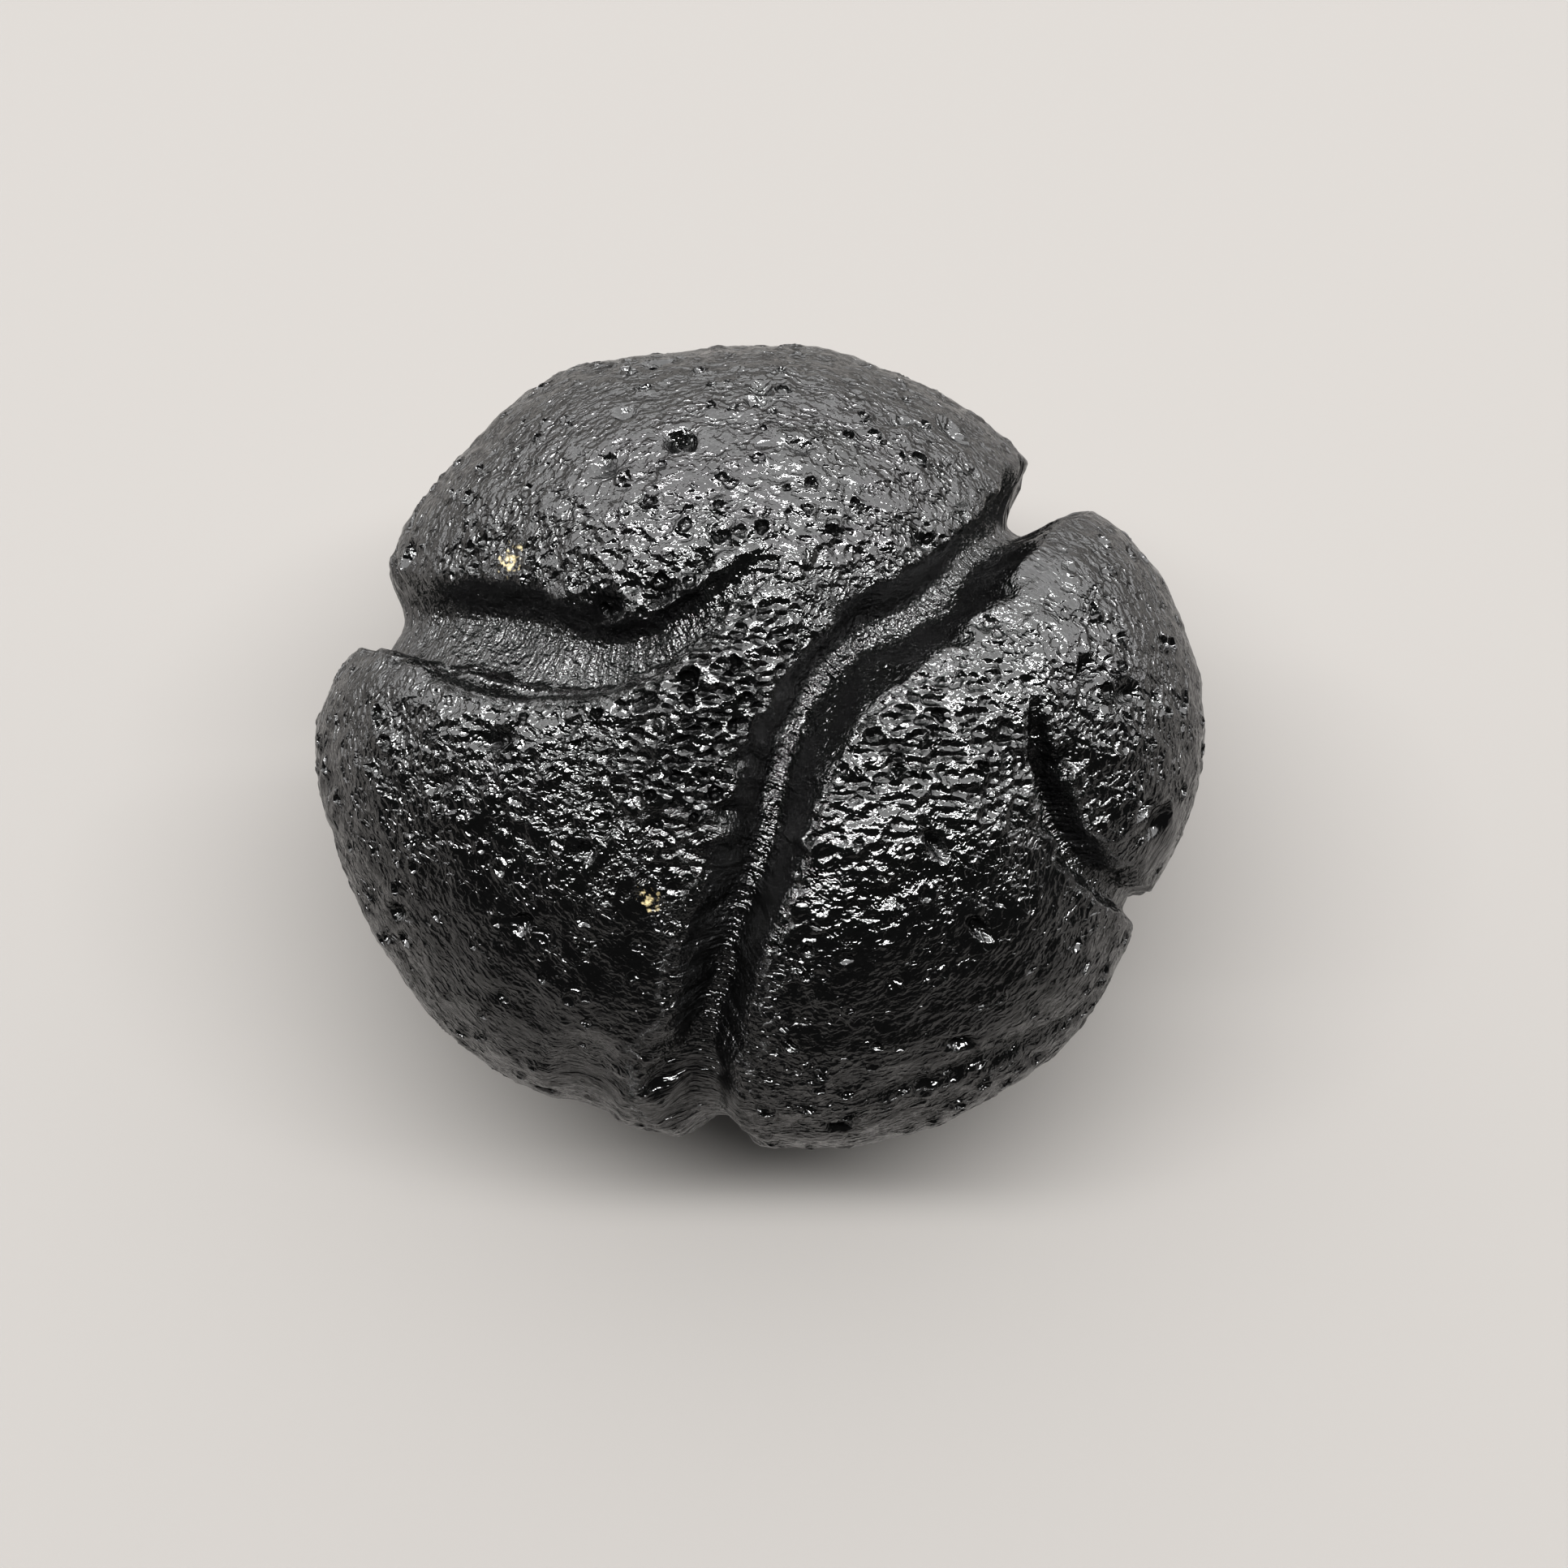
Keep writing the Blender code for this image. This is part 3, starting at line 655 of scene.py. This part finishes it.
def skinDepth(tree, found, stored):
    # The honeycomb where its patches are, dashes elsewhere and pits in both, with none of them in smooth
    # patches and little in grooves
    comb = addNode(tree, "ShaderNodeMath", {"operation": "MULTIPLY_ADD"},
                   {0: found["comb"], 1: stored["comb"], 2: found["pit"]})
    plain = addNode(tree, "ShaderNodeMath", {"operation": "SUBTRACT"}, {0: 1.0, 1: stored["comb"]})
    strewn = addNode(tree, "ShaderNodeMath", {"operation": "MULTIPLY_ADD"},
                     {0: found["dash"], 1: plain, 2: comb})
    worn = addNode(tree, "ShaderNodeMath", {"operation": "MULTIPLY"},
                   {0: stored["fluted"], 1: pattern["grooveWear"]})
    calm = addNode(tree, "ShaderNodeMath", {"operation": "MAXIMUM"}, {0: stored["smooth"], 1: worn})
    lively = addNode(tree, "ShaderNodeMath", {"operation": "SUBTRACT"}, {0: 1.0, 1: calm})
    return addNode(tree, "ShaderNodeMath", {"operation": "MULTIPLY"}, {0: strewn, 1: lively})


def fluteDepth(tree, size, stored):
    # Fine channels down the walls and across the floor of a groove
    low, high = pattern["fluteRange"]
    flute = addNode(tree, "ShaderNodeCombineXYZ", None,
                    {"X": size["fluteSpacing"], "Y": pattern["fluteLength"], "Z": 1.0})
    place = addNode(tree, "ShaderNodeVectorMath", {"operation": "DIVIDE"},
                    {0: stored["flutePlace"], 1: flute})
    noise = addNode(tree, "ShaderNodeTexNoise", None, {"Vector": place, "Scale": 1.0, "Detail": 2.0})
    steep = addNode(tree, "ShaderNodeMapRange", None, {"Value": noise, "From Min": low, "From Max": high})
    here = addNode(tree, "ShaderNodeMath", {"operation": "MULTIPLY"},
                   {0: stored["fluted"], 1: size["fluteDepth"]})
    return addNode(tree, "ShaderNodeMath", {"operation": "MULTIPLY"}, {0: steep, 1: here})


def etchedSkinTree():
    # Sinks the skin's hollows, flutes and soft swells into a form, along its normals
    tree = bpy.data.node_groups.new("etchedSkin", "GeometryNodeTree")
    tree.interface.new_socket("Geometry", in_out="INPUT", socket_type="NodeSocketGeometry")
    for name in skin:
        tree.interface.new_socket(name, in_out="INPUT", socket_type="NodeSocketFloat")
    tree.interface.new_socket("material", in_out="INPUT", socket_type="NodeSocketMaterial")
    tree.interface.new_socket("Geometry", in_out="OUTPUT", socket_type="NodeSocketGeometry")
    given = addNode(tree, "NodeGroupInput")
    size = {name: given.outputs[name] for name in skin}
    stored = {}
    for name, kind in storedKinds.items():
        stored[name] = addNode(tree, "GeometryNodeInputNamedAttribute", {"data_type": kind},
                               {"Name": name}).outputs["Attribute"]
    seeded = addNode(tree, "ShaderNodeVectorMath", {"operation": "SCALE"},
                     {0: pattern["seedShift"], "Scale": size["seed"]})
    swellPlace = addNode(tree, "ShaderNodeVectorMath", None, {0: stored["formPlace"], 1: seeded})
    swellScale = addNode(tree, "ShaderNodeMath", {"operation": "DIVIDE"}, {0: 1.0, 1: size["swellSize"]})
    swellNoise = addNode(tree, "ShaderNodeTexNoise", None,
                         {"Vector": swellPlace, "Scale": swellScale, "Detail": pattern["swellDetail"],
                          "Roughness": pattern["swellRoughness"]})
    level = addNode(tree, "ShaderNodeMath", {"operation": "SUBTRACT"}, {0: swellNoise, 1: 0.5})
    swells = addNode(tree, "ShaderNodeMath", {"operation": "MULTIPLY"}, {0: level, 1: size["swellDepth"]})
    depth = skinDepth(tree, skinHollows(tree, stored["formPlace"], size, stored["comb"]), stored)
    depth = addNode(tree, "ShaderNodeMath", None, {0: depth, 1: fluteDepth(tree, size, stored)})
    depth = addNode(tree, "ShaderNodeMath", None, {0: depth, 1: swells})
    depth = addNode(tree, "ShaderNodeMath", {"operation": "MULTIPLY"}, {0: depth, 1: stored["raised"]})
    inwards = addNode(tree, "ShaderNodeMath", {"operation": "MULTIPLY"}, {0: depth, 1: -1.0})
    normal = addNode(tree, "GeometryNodeInputNormal")
    offset = addNode(tree, "ShaderNodeVectorMath", {"operation": "SCALE"}, {0: normal, "Scale": inwards})
    etched = addNode(tree, "GeometryNodeSetPosition", None,
                     {"Geometry": given.outputs["Geometry"], "Offset": offset})
    whole = addNode(tree, "GeometryNodeRealizeInstances", None, {"Geometry": etched})
    finished = addNode(tree, "GeometryNodeSetMaterial", None,
                       {"Geometry": whole, "Material": given.outputs["material"]})
    addNode(tree, "NodeGroupOutput", None, {"Geometry": finished})
    return tree


# Tektite is natural glass, quenched from melt and then etched by soil acids. It is near black because light
# hardly gets through it, and glossy inside each of the small dashes and pits that make it look satin. Sizes
# are in millimetres.
glass = {
    "colour": "#030303",
    "ior": 1.5,
    "roughness": (0.07, 0.17),
    "roughnessPatch": 1.8,
    "roughnessNoise": (0.3, 0.7),  # noise where it is least rough and most rough
    "combCell": 0.55,
    "combDepth": 0.16,
    "pitSpacing": 1.1,
    "pitDepth": 0.16,
    "dashLength": 0.44,
    "dashWidth": 0.24,
    "dashDepth": 0.12,
    "fluteSpacing": 0.2,
    "fluteDepth": 0.05,
    "streakLength": 1.1,
    "streakWidth": 0.22,
    "streakDepth": 0.08,
    "streakShare": 0.25,  # share of the streaks' depth that is left outside smooth patches
    "grainSize": 0.3,
    "grainDepth": 0.09,
    "grainRoughness": 0.6,
    "sunkDepth": 0.12,  # how deep a larger hollow counts for the painted shade in it
    "paintedShadeDepths": (0.07, 0.14),  # where the painted shade starts, and where it is darkest
    "paintedShadeSpecular": (0.5, 0.06),  # specular of the painted shade at these two depths
    "soil": "#8b7f5f",
    "soilRoughness": 0.85,
    "soilSpecks": ((-11.4, 8.4, 11.6, 0.9), (-4.8, -6.5, 14.3, 0.75)),  # point and radius
    "soilEdge": (0.6, 0.9),  # added to the radius, where the soil starts to thin out and where it ends
    "soilRaggedness": 1.6,
    "soilNoise": 4.0,  # waves to a millimetre
}


def linear(hexColour):
    # sRGB hex to linear colour
    values = [int(hexColour[place:place + 2], 16) / 255 for place in (1, 3, 5)]
    values = [value / 12.92 if value <= 0.04045 else ((value + 0.055) / 1.055) ** 2.4 for value in values]
    return (*values, 1)


def glassRelief(tree, found, stored):
    # The same hollows as in the mesh, with finer flutes, flow streaks and grain between them
    place = stored["formPlace"]
    depth = skinDepth(tree, found, stored)
    streakSize = (glass["streakLength"], glass["streakLength"], glass["streakWidth"])
    streakPlace = addNode(tree, "ShaderNodeVectorMath", {"operation": "DIVIDE"},
                          {0: contourPlace(tree, place), 1: streakSize})
    streaks = addNode(tree, "ShaderNodeTexNoise", None,
                      {"Vector": streakPlace, "Scale": 1.0, "Detail": 3.0})
    grain = addNode(tree, "ShaderNodeTexNoise", None,
                    {"Vector": place, "Scale": 1 / glass["grainSize"], "Detail": 2.0,
                     "Roughness": glass["grainRoughness"]})
    depth = addNode(tree, "ShaderNodeMath", None, {0: depth, 1: fluteDepth(tree, glass, stored)})
    here = addNode(tree, "ShaderNodeMath", {"operation": "MULTIPLY_ADD"},
                   {0: stored["smooth"], 1: glass["streakDepth"],
                    2: glass["streakDepth"] * glass["streakShare"]})
    depth = addNode(tree, "ShaderNodeMath", {"operation": "MULTIPLY_ADD"}, {0: streaks, 1: here, 2: depth})
    rough = addNode(tree, "ShaderNodeMath", {"operation": "MULTIPLY_ADD"},
                    {0: stored["fluted"], 1: glass["grainDepth"], 2: glass["grainDepth"]})
    lively = addNode(tree, "ShaderNodeMath", {"operation": "SUBTRACT"}, {0: 1.0, 1: stored["smooth"]})
    rough = addNode(tree, "ShaderNodeMath", {"operation": "MULTIPLY"}, {0: rough, 1: lively})
    return addNode(tree, "ShaderNodeMath", {"operation": "MULTIPLY_ADD"}, {0: grain, 1: rough, 2: depth})


def soilShare(tree, place):
    # A little pale soil is caught in two pits
    ragged = addNode(tree, "ShaderNodeTexNoise", None,
                     {"Vector": place, "Scale": glass["soilNoise"], "Detail": 3.0})
    inner, outer = glass["soilEdge"]
    soil = None
    for x, y, z, radius in glass["soilSpecks"]:
        gap = addNode(tree, "ShaderNodeVectorMath", {"operation": "DISTANCE"}, {0: place, 1: (x, y, z)})
        edge = addNode(tree, "ShaderNodeMath", {"operation": "MULTIPLY_ADD"},
                       {0: ragged, 1: glass["soilRaggedness"], 2: gap.outputs["Value"]})
        speck = addNode(tree, "ShaderNodeMapRange", None,
                        {"Value": edge, "From Min": radius + inner, "From Max": radius + outer,
                         "To Min": 1.0, "To Max": 0.0})
        if soil:
            speck = addNode(tree, "ShaderNodeMath", {"operation": "MAXIMUM"}, {0: soil, 1: speck})
        soil = speck
    return soil


def naturalTektiteGlass():
    material = bpy.data.materials.new("naturalTektiteGlass")
    material.use_nodes = True
    tree = material.node_tree
    shader = tree.nodes["Principled BSDF"]
    shader.inputs["IOR"].default_value = glass["ior"]
    shader.inputs["Metallic"].default_value = 0.0
    stored = {}
    for name, kind in storedKinds.items():
        node = addNode(tree, "ShaderNodeAttribute", {"attribute_name": name})
        stored[name] = node.outputs["Vector" if kind == "FLOAT_VECTOR" else "Fac"]
    place = stored["formPlace"]
    found = skinHollows(tree, place, glass, stored["comb"])
    bump = addNode(tree, "ShaderNodeBump", {"invert": True},
                   {"Distance": mm, "Height": glassRelief(tree, found, stored)})
    tree.links.new(bump.outputs[0], shader.inputs["Normal"])

    # Painted shade: the specular is lowered in the pits and the honeycomb, standing in for the shade inside
    # hollows that are deeper than the mesh can show
    hidden = skinDepth(tree, {**found, "dash": 0.0}, stored)
    deep = addNode(tree, "ShaderNodeMath", {"operation": "MULTIPLY_ADD"},
                   {0: stored["sunk"], 1: glass["sunkDepth"], 2: hidden})
    start, most = glass["paintedShadeDepths"]
    full, least = glass["paintedShadeSpecular"]
    paintedPitShade = addNode(tree, "ShaderNodeMapRange", None,
                     {"Value": deep, "From Min": start, "From Max": most, "To Min": full, "To Max": least})
    tree.links.new(paintedPitShade.outputs[0], shader.inputs["Specular IOR Level"])

    soil = soilShare(tree, place)
    colour = addNode(tree, "ShaderNodeMix", {"data_type": "RGBA"},
                     {"Factor": soil, 6: linear(glass["colour"]), 7: linear(glass["soil"])})
    tree.links.new(colour.outputs[2], shader.inputs["Base Color"])
    low, high = glass["roughnessNoise"]
    glossy, satin = glass["roughness"]
    patches = addNode(tree, "ShaderNodeTexNoise", None,
                      {"Vector": place, "Scale": 1 / glass["roughnessPatch"], "Detail": 2.0})
    gloss = addNode(tree, "ShaderNodeMapRange", None,
                    {"Value": patches, "From Min": low, "From Max": high, "To Min": glossy, "To Max": satin})
    roughness = addNode(tree, "ShaderNodeMix", {"data_type": "FLOAT"},
                        {"Factor": soil, 2: gloss, 3: glass["soilRoughness"]})
    tree.links.new(roughness.outputs[0], shader.inputs["Roughness"])
    return material


def makeStone():
    print("carving the stone")
    form = carvedStone()
    points = pointsOf(form)
    tip = Matrix.Rotation(tilt, 4, "X")
    resting = points @ np.array(tip.to_3x3()).T
    low, high = resting.min(axis=0), resting.max(axis=0)
    corner, opposite = (Vector(place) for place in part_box("tektite"))
    target = (corner + opposite) / 2
    middle = (low + high) / 2 * mm
    shift = Vector((target.x - middle[0], target.y - middle[1], -low[2] * mm))
    print("etching its skin")
    helper = bpy.data.objects.new("helper", form)
    bpy.context.scene.collection.objects.link(helper)
    tree = etchedSkinTree()
    etch = helper.modifiers.new("etchedSkin", "NODES")
    etch.node_group = tree
    sockets = {item.name: item.identifier for item in tree.interface.items_tree if item.in_out == "INPUT"}
    for name, value in skin.items():
        etch[sockets[name]] = value
    etch[sockets["material"]] = naturalTektiteGlass()
    thin = helper.modifiers.new("fewerFaces", "DECIMATE")
    thin.ratio = lump["mostTriangles"] / len(form.polygons)
    bpy.context.view_layer.update()
    graph = bpy.context.evaluated_depsgraph_get()
    mesh = bpy.data.meshes.new_from_object(helper.evaluated_get(graph), preserve_all_data_layers=True,
                                           depsgraph=graph)
    bpy.data.objects.remove(helper)
    bpy.data.meshes.remove(form)
    mesh.transform(Matrix.Translation(shift) @ Matrix.Scale(mm, 4) @ tip)
    mesh.name = "etchedStone"
    mesh.shade_smooth()
    stone = bpy.data.objects.new("etchedStone", mesh)
    bpy.context.scene.collection.objects.link(stone)
    print("the stone has", len(mesh.polygons), "faces")
    return stone


# The plain pale table, the soft light and the camera, in metres and degrees. The light is a wide soft one on
# the far side, and a narrow lamp above that gives the glints.
studio = {
    "tableRadius": 1.5,
    "tableSegments": 96,
    "tableColour": "#5a5856",
    "tableRoughness": 0.9,
    "tableSpecular": 0.2,
    "windowElevation": 12,
    "windowEdge": (0.1, 0.26),  # cosines of the angle to its middle where its light starts and is full
    "windowBrightness": 5.4,
    "airBrightness": 0.035,
    "lamp": {"elevation": 84, "distance": 0.5, "width": 0.8, "height": 0.06, "power": 16.0},
    "displayGamma": 0.9,  # below 1 deepens the shadows
    "sensorWidth": 36,
    "focal": 2756 / 1932 * 36,  # 2756 pixels of a picture 1932 wide
    "cameraElevation": 78,
    "cameraDistance": 0.1076,
    "aim": (0.00115, -0.00179, 0.01584),
}


def makeTable():
    disc = bmesh.new()
    bmesh.ops.create_circle(disc, cap_ends=True, segments=studio["tableSegments"],
                            radius=studio["tableRadius"])
    mesh = bpy.data.meshes.new("paleTable")
    disc.to_mesh(mesh)
    disc.free()
    material = bpy.data.materials.new("mattPaleTable")
    material.use_nodes = True
    shader = material.node_tree.nodes["Principled BSDF"]
    shader.inputs["Base Color"].default_value = linear(studio["tableColour"])
    shader.inputs["Roughness"].default_value = studio["tableRoughness"]
    shader.inputs["Specular IOR Level"].default_value = studio["tableSpecular"]
    mesh.materials.append(material)
    table = bpy.data.objects.new("paleTable", mesh)
    bpy.context.scene.collection.objects.link(table)


def makeWindow():
    # A sky that is bright on the far side and dim on the near one
    angle = math.radians(studio["windowElevation"])
    world = bpy.data.worlds.new("softWindow")
    world.use_nodes = True
    tree = world.node_tree
    start, full = studio["windowEdge"]
    way = addNode(tree, "ShaderNodeTexCoord").outputs["Generated"]
    towards = addNode(tree, "ShaderNodeVectorMath", {"operation": "DOT_PRODUCT"},
                      {0: way, 1: (0, math.cos(angle), math.sin(angle))})
    bright = addNode(tree, "ShaderNodeMapRange", {"interpolation_type": "SMOOTHSTEP"},
                     {"Value": towards.outputs["Value"], "From Min": start, "From Max": full,
                      "To Min": studio["airBrightness"], "To Max": studio["windowBrightness"]})
    tree.links.new(bright.outputs[0], tree.nodes["Background"].inputs["Strength"])
    tree.nodes["Background"].inputs["Color"].default_value = (1, 1, 1, 1)
    bpy.context.scene.world = world


def makeLamp():
    lamp = studio["lamp"]
    angle = math.radians(lamp["elevation"])
    away = Vector((0, math.cos(angle), math.sin(angle)))
    data = bpy.data.lights.new("lamp", "AREA")
    data.shape = "RECTANGLE"
    data.size = lamp["width"]
    data.size_y = lamp["height"]
    data.energy = lamp["power"]
    panel = bpy.data.objects.new("lamp", data)
    panel.location = Vector((0, 0, cadBox[1][2] / 2)) + away * lamp["distance"]
    panel.rotation_euler = away.to_track_quat("Z", "Y").to_euler()
    panel.visible_camera = False
    bpy.context.scene.collection.objects.link(panel)


def makeCamera():
    angle = math.radians(studio["cameraElevation"])
    back = Vector((0, -math.cos(angle), math.sin(angle)))
    data = bpy.data.cameras.new("camera")
    data.sensor_width = studio["sensorWidth"]
    data.lens = studio["focal"]
    data.clip_start = mm
    camera = bpy.data.objects.new("camera", data)
    camera.location = Vector(studio["aim"]) + back * studio["cameraDistance"]
    camera.rotation_euler = back.to_track_quat("Z", "Y").to_euler()
    bpy.context.scene.collection.objects.link(camera)
    bpy.context.scene.camera = camera


stone = makeStone()
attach(stone, "root")
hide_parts("tektite")
print("setting the table, the light and the camera")
makeTable()
makeWindow()
makeLamp()
makeCamera()
bpy.context.scene.view_settings.view_transform = "Standard"
bpy.context.scene.view_settings.gamma = studio["displayGamma"]
